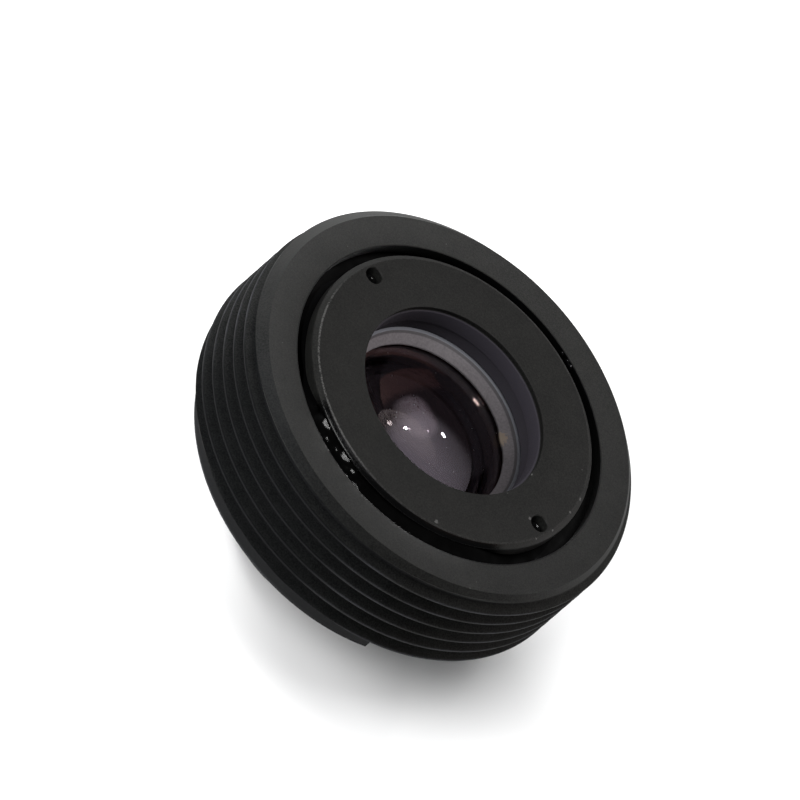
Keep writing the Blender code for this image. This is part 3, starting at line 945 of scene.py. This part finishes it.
def envelope_radius(height):
    """How far out the thread may reach at a height, inside the bevels at its two ends."""
    rear = THREAD_END_RADIUS + (REAR_FACE - height)
    rise = (THREAD_RADIUS - THREAD_END_RADIUS) / THREAD_END_TAPER
    front = THREAD_END_RADIUS + rise * (height - (REAR_FACE - THREAD_LENGTH))
    return min(rear, front)


def thread_sheet():
    """One turn of the thread's section is spun up its pitch, repeated, and trimmed at both ends."""
    root = THREAD_RADIUS - THREAD_DEPTH
    bottom = REAR_FACE - THREAD_LENGTH
    first = bottom + THREAD_LEAD_IN - 2 * THREAD_PITCH
    foot = THREAD_ROOT_WIDTH / 2
    crest = foot + THREAD_DEPTH * math.tan(deg(THREAD_FLANK_ANGLE))
    section = [
        (root, first),
        (root, first + foot, ROOT_ROUNDING),
        (THREAD_RADIUS, first + crest, CREST_ROUNDING),
        (THREAD_RADIUS, first + THREAD_PITCH - crest, CREST_ROUNDING),
        (root, first + THREAD_PITCH - foot, ROOT_ROUNDING),
        (root, first + THREAD_PITCH),
    ]
    bm = wire_section(section, closed=False)
    long_edges = [edge for edge in bm.edges if edge.calc_length() > SHORTEST_FLANK]
    bmesh.ops.subdivide_edges(bm, edges=long_edges, cuts=FLANK_ROWS)
    bmesh.ops.spin(
        bm, geom=bm.verts[:] + bm.edges[:], axis=(0, 0, 1), cent=(0, 0, 0),
        dvec=(0, 0, THREAD_PITCH / BARREL_COLUMNS), angle=math.tau, steps=BARREL_COLUMNS,
    )
    one_turn = bm.verts[:] + bm.edges[:] + bm.faces[:]
    turns = math.ceil((REAR_FACE - first) / THREAD_PITCH)
    for turn in range(1, turns):
        copy = bmesh.ops.duplicate(bm, geom=one_turn)
        moved = [item for item in copy["geom"] if isinstance(item, bmesh.types.BMVert)]
        bmesh.ops.translate(bm, vec=(0, 0, THREAD_PITCH * turn), verts=moved)
    for vert in bm.verts:
        vert.co.z = min(max(vert.co.z, bottom), REAR_FACE)
        share = min(1.0, envelope_radius(vert.co.z) / vert.co.xy.length)
        vert.co.x *= share
        vert.co.y *= share
    bmesh.ops.remove_doubles(bm, verts=bm.verts, dist=MERGE_DISTANCE)
    bmesh.ops.dissolve_degenerate(bm, dist=MERGE_DISTANCE, edges=bm.edges)
    return bm


def slot_cutter(side):
    reach = BOSS_RADIUS - NOSE_BASE_RADIUS + SLOT_WIDTH
    bm = bmesh.new()
    bmesh.ops.create_cube(bm, size=1.0)
    bmesh.ops.scale(bm, vec=(reach, SLOT_WIDTH, 2 * SLOT_HEIGHT), verts=bm.verts)
    bmesh.ops.bevel(
        bm, geom=bm.edges[:], offset=SLOT_EDGE, offset_type="OFFSET", segments=3,
        profile=0.5, affect="EDGES", material=-1,
    )
    bearing = SLOT_BEARING + 180 * side
    bmesh.ops.rotate(bm, matrix=Matrix.Rotation(deg(bearing), 3, "Z"), verts=bm.verts)
    place = round_point(NOSE_BASE_RADIUS + reach / 2, bearing, NOSE_LENGTH)
    bmesh.ops.translate(bm, vec=place, verts=bm.verts)
    return bm


def is_thread_wall(face):
    """The plain wall that stands where the thread goes."""
    middle = face.calc_center_median()
    inside = REAR_FACE - THREAD_LENGTH < middle.z < REAR_FACE
    return inside and middle.xy.length > BOSS_RADIUS + FINE_EDGE and abs(face.normal.z) < 0.5


def build_barrel(groups):
    thread_end = REAR_FACE - THREAD_LENGTH
    profile = [
        (THREAD_END_RADIUS, thread_end),
        (BOSS_RADIUS, thread_end, FINE_EDGE),
        (BOSS_RADIUS, NOSE_LENGTH + BOSS_EDGE, FINE_EDGE),
        (BOSS_RADIUS - BOSS_EDGE, NOSE_LENGTH, FINE_EDGE),
        (NOSE_BASE_RADIUS, NOSE_LENGTH, FINE_EDGE),
        (NOSE_TIP_RADIUS, NOSE_EDGE, FINE_EDGE),
        (NOSE_TIP_RADIUS - NOSE_EDGE, 0.0, FINE_EDGE),
        (MOUTH_RADIUS, 0.0, FINE_EDGE),
        (PUPIL_RADIUS, LIP_HEIGHT, FINE_EDGE),
        (FRONT_BORE_RADIUS, LIP_HEIGHT),
        (FRONT_BORE_RADIUS, CELL_FLOOR),
        (CELL_BORE_RADIUS, CELL_FLOOR),
        (CELL_BORE_RADIUS, CELL_TOP),
        (REAR_BORE_RADIUS, CELL_TOP),
        (REAR_BORE_RADIUS, REAR_FACE, FINE_EDGE / 2),
        (THREAD_END_RADIUS, REAR_FACE),
    ]
    bm = turned(profile, BARREL_COLUMNS)
    bm = cut_away(bm, [slot_cutter(side) for side in range(2)])
    bm.normal_update()
    wall = [face for face in bm.faces if is_thread_wall(face)]
    bmesh.ops.delete(bm, geom=wall, context="FACES")
    sheet = to_mesh("thread", thread_sheet())
    bm.from_mesh(sheet)
    bpy.data.meshes.remove(sheet)
    bmesh.ops.remove_doubles(bm, verts=bm.verts, dist=MERGE_DISTANCE)
    bmesh.ops.recalc_face_normals(bm, faces=bm.faces)
    return finish_piece("turned_barrel", bm, anodised_barrel(groups), "barrel")


# Retaining ring


def drive_hole_drill(side):
    """A drill with a pointed tip and a countersink that breaks the hole's edge."""
    profile = [
        (0.0, RING_TOP + DRIVE_HOLE_DEPTH),
        (DRIVE_HOLE_RADIUS + DRIVE_HOLE_BURR, RING_TOP + DRIVE_HOLE_DEPTH),
        (DRIVE_HOLE_RADIUS + DRIVE_HOLE_BURR, RING_TOP),
        (DRIVE_HOLE_RADIUS, RING_TOP - DRIVE_HOLE_BURR),
        (DRIVE_HOLE_RADIUS, RING_TOP - DRIVE_HOLE_DEPTH + DRIVE_HOLE_RADIUS / 2, FINE_EDGE),
        (0.0, RING_TOP - DRIVE_HOLE_DEPTH),
    ]
    bm = turned(profile, HOLE_COLUMNS, closed=False)
    place = round_point(DRIVE_CIRCLE_RADIUS, DRIVE_BEARINGS[side], 0)
    bmesh.ops.translate(bm, vec=place, verts=bm.verts)
    return bm


def build_retaining_ring(groups):
    relief_top = RING_BOTTOM + RING_RELIEF_HEIGHT
    mouth_foot = RING_TOP - RING_MOUTH_DEPTH
    profile = [
        (RING_MOUTH_RADIUS, RING_TOP, FINE_EDGE / 2),
        (RING_RADIUS - RING_BEVEL_WIDTH, RING_TOP, FINE_EDGE / 2),
        (RING_RADIUS, RING_TOP - RING_BEVEL_HEIGHT, FINE_EDGE),
        (RING_RADIUS, FLANGE_TOP),
        (FLANGE_RADIUS, FLANGE_TOP),
        (FLANGE_RADIUS, RING_BOTTOM),
        (RING_RELIEF_RADIUS, RING_BOTTOM),
        (RING_RELIEF_RADIUS, relief_top),
        (RING_BORE_RADIUS - RING_BORE_TAPER, relief_top, FINE_EDGE / 3),
        (RING_BORE_RADIUS, mouth_foot - RING_MOUTH_UNDERCUT / 2, FINE_EDGE / 4),
        (RING_MOUTH_RADIUS + RING_MOUTH_UNDERCUT, mouth_foot),
    ]
    bm = turned(profile, RING_COLUMNS)
    bm = cut_away(bm, [drive_hole_drill(side) for side in range(2)])
    look = anodised_ring(groups)
    return finish_piece("ring_with_drive_holes", bm, look, "retaining_ring")


# Adhesive bead


def lerp(first, second, share):
    return first + (second - first) * share


def soft_step(value, low, high):
    share = min(max((value - low) / (high - low), 0.0), 1.0)
    return share * share * (3 - 2 * share)


def skin_height(point):
    """Height of the adhesive's smooth skin, which climbs the ring's wall on the near side."""
    bearing = math.degrees(math.atan2(point.y, point.x))
    across = (point.xy.length - RING_RADIUS) / (REAR_BORE_RADIUS - RING_RADIUS)
    off = abs(bearing - BEAD_CLIMB_BEARING)
    fade = BEAD_CLIMB_FADE / 2
    climb = 1 - soft_step(off, BEAD_CLIMB_SPREAD - fade, BEAD_CLIMB_SPREAD + fade)
    low = lerp(BEAD_LOW_INNER, BEAD_LOW_OUTER, across)
    high = lerp(BEAD_HIGH_INNER, BEAD_HIGH_OUTER, across)
    sag = 4 * across * (1 - across) * BEAD_SAG * (1 - climb)
    ripple = noise.noise(round_point(1.5, bearing, across * 0.3)) * BEAD_RIPPLE
    return REAR_FACE + lerp(low, high, climb) - sag + ripple


def bead_lumps():
    """Small flat-topped lumps of squeezed-out adhesive, as a top point and a half width."""
    chance = random.Random(11)
    lumps = []
    for _ in range(LUMP_COUNT):
        radius = chance.uniform(RING_RADIUS, REAR_BORE_RADIUS)
        place = round_point(radius, chance.uniform(*LUMP_BEARINGS), 0)
        place.z = skin_height(place) + chance.uniform(*LUMP_RISE_MM) * MM
        lumps.append((place, chance.uniform(*LUMP_WIDTH_MM) * MM))
    for bearing in BIG_LUMP_BEARINGS:
        place = round_point(lerp(RING_RADIUS, REAR_BORE_RADIUS, BIG_LUMP_ACROSS), bearing, 0)
        place.z = skin_height(place) + BIG_LUMP_RISE
        lumps.append((place, BIG_LUMP_WIDTH))
    far_radius = lerp(RING_RADIUS, REAR_BORE_RADIUS, FAR_LUMP_ACROSS)
    for bearing in FAR_LUMP_BEARINGS:
        place = round_point(far_radius, bearing, REAR_FACE + FAR_LUMP_RISE)
        lumps.append((place, FAR_LUMP_WIDTH))
    return lumps


def bead_height(point, lumps):
    height = skin_height(point)
    for top, width in lumps:
        away = (point.xy - top.xy).length / width
        height = lerp(height, top.z, math.exp(-away ** 4))
    return height


def build_adhesive_bead():
    inner = RING_RADIUS + BEAD_CLEARANCE
    outer = REAR_BORE_RADIUS - BEAD_CLEARANCE
    skin = (BEAD_BOTTOM + BEAD_TOP) / 2
    corners = [(outer, BEAD_BOTTOM), (inner, BEAD_BOTTOM), (inner, skin), (outer, skin)]
    bm = wire_section(corners, closed=True)
    top = [edge for edge in bm.edges if min(vert.co.z for vert in edge.verts) > BEAD_BOTTOM]
    bmesh.ops.subdivide_edges(bm, edges=top, cuts=BEAD_ROWS)
    spin_section(bm, BEAD_COLUMNS)
    lumps = bead_lumps()
    for vert in bm.verts:
        if vert.co.z > BEAD_BOTTOM + FINE_EDGE:
            vert.co.z = bead_height(vert.co, lumps)
    for bearing in DRIVE_BEARINGS:
        place = round_point(DRIVE_CIRCLE_RADIUS, bearing, RING_TOP - DRIVE_HOLE_DEPTH + DROP_RADIUS)
        drop = Matrix.Translation(place) @ Matrix.Scale(DROP_HEIGHT, 4, (0, 0, 1))
        bmesh.ops.create_uvsphere(bm, u_segments=48, v_segments=24, radius=DROP_RADIUS, matrix=drop)
    bmesh.ops.recalc_face_normals(bm, faces=bm.faces)
    return finish_piece("squeezed_adhesive", bm, wet_adhesive(), "adhesive_bead")


# Seat ring


def build_seat_ring(groups):
    profile = [
        (SEAT_CONE_TOP_RADIUS, SEAT_TOP, FINE_EDGE / 2),
        (SEAT_RADIUS, SEAT_TOP),
        (SEAT_RADIUS, SEAT_BOTTOM),
        (SEAT_THROAT_RADIUS, SEAT_BOTTOM),
        (SEAT_THROAT_RADIUS, SEAT_BOTTOM + SEAT_THROAT_HEIGHT, FINE_EDGE / 3),
    ]
    bm = turned(profile, SEAT_COLUMNS)
    for vert in bm.verts:
        radius = vert.co.xy.length
        if radius < SEAT_THROAT_RADIUS + FINE_EDGE / 2:
            off = (math.degrees(math.atan2(vert.co.y, vert.co.x)) - CHIP_BEARING) / CHIP_SPREAD
            inward = CHIP_REACH * math.exp(-off * off)
            ragged = noise.noise(vert.co * THROAT_RAGGED_SCALE) * THROAT_RAGGEDNESS
            share = 1 - (inward + ragged) / radius
            vert.co.x *= share
            vert.co.y *= share
    return finish_piece("frosted_seat_ring", bm, frosted_seat(groups), "seat_ring")


# Glass elements and what holds them


def cap(clear_radius, rim_height, crown):
    """Points of a spherical face, from the axis to its clear radius at the rim's height."""
    ball = (clear_radius ** 2 + crown ** 2) / (2 * abs(crown))
    half_angle = math.asin(clear_radius / ball)
    side = math.copysign(1.0, crown)
    centre = rim_height + crown - side * ball
    angles = [half_angle * step / FACE_STEPS for step in range(FACE_STEPS + 1)]
    return [(ball * math.sin(a), centre + side * ball * math.cos(a)) for a in angles]


def build_lens(node_name, piece_name, rim, faces, material):
    """rim is its bottom and top, and faces are its upper and its lower face."""
    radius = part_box(node_name)[1].x
    bottom, top = rim
    upper, lower = faces
    rim_points = [
        (radius - LENS_BEVEL, top, FINE_EDGE / 3),
        (radius, top - LENS_BEVEL, FINE_EDGE / 3),
        (radius, bottom + LENS_BEVEL, FINE_EDGE / 3),
        (radius - LENS_BEVEL, bottom, FINE_EDGE / 3),
    ]
    upper_face = cap(upper[0], top, upper[1])
    lower_face = cap(lower[0], bottom, -lower[1])
    bm = turned(upper_face + rim_points + lower_face[::-1], OPTIC_COLUMNS, closed=False)
    return finish_piece(piece_name, bm, material, node_name)


def build_baffle(node_name, piece_name, inner, ridges, material):
    """A spacer whose bore is cut with fine ridges that stop stray light."""
    low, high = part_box(node_name)
    profile = [(high.x, high.z), (high.x, low.z)]
    pitch = (high.z - low.z) / ridges
    for ridge in range(ridges):
        profile.append((inner, low.z + pitch * ridge))
        profile.append((inner + 0.5 * pitch, low.z + pitch * (ridge + 0.5)))
    profile.append((inner, high.z))
    finish_piece(piece_name, turned(profile, OPTIC_COLUMNS), material, node_name)


def build_glass(groups):
    """The rear element's coating is lilac, and the glass under it is a little brown."""
    rear = coated_glass(groups, "lilac coated glass", REAR_IOR, LILAC_COATING, LILAC_GLASS)
    inner = coated_glass(groups, "brown coated glass", INNER_IOR, BROWN_COATING, BROWN_GLASS)
    rear_glass = build_lens("rear_lens", "rear_glass", REAR_LENS_RIM, REAR_LENS_FACES, rear)
    build_lens("third_lens", "third_glass", THIRD_LENS_RIM, THIRD_LENS_FACES, inner)
    build_lens("second_lens", "second_glass", SECOND_LENS_RIM, SECOND_LENS_FACES, inner)
    build_lens("front_lens", "front_glass", FRONT_LENS_RIM, FRONT_LENS_FACES, inner)
    return rear_glass


def build_baffles(groups):
    """Each gets the number of ridges that makes them about equally fine."""
    black = baffle_black(groups)
    build_baffle("rear_spacer", "rear_baffle", SPACER_BORE, 10, black)
    build_baffle("middle_spacer", "middle_baffle", SPACER_BORE, 5, black)
    build_baffle("front_spacer", "front_baffle", FRONT_SPACER_BORE, 4, black)
    build_baffle("aperture_stop", "stop_disc", STOP_RADIUS, 1, black)


# Floor and scene


def build_floor():
    bm = bmesh.new()
    bmesh.ops.create_grid(bm, x_segments=8, y_segments=8, size=FLOOR_HALF_SIZE)
    mesh = to_mesh("floor", bm)
    mesh.materials.append(floor_white())
    floor = add_object("floor", mesh)
    return floor


def main():
    bpy.context.scene.view_settings.view_transform = "Standard"
    make_camera()
    make_world()
    groups = make_groups()
    floor = build_floor()
    barrel = build_barrel(groups)
    ring = build_retaining_ring(groups)
    adhesive = build_adhesive_bead()
    seat = build_seat_ring(groups)
    glass = build_glass(groups)
    build_baffles(groups)
    make_lights(floor, barrel, ring, seat, adhesive, glass)


main()
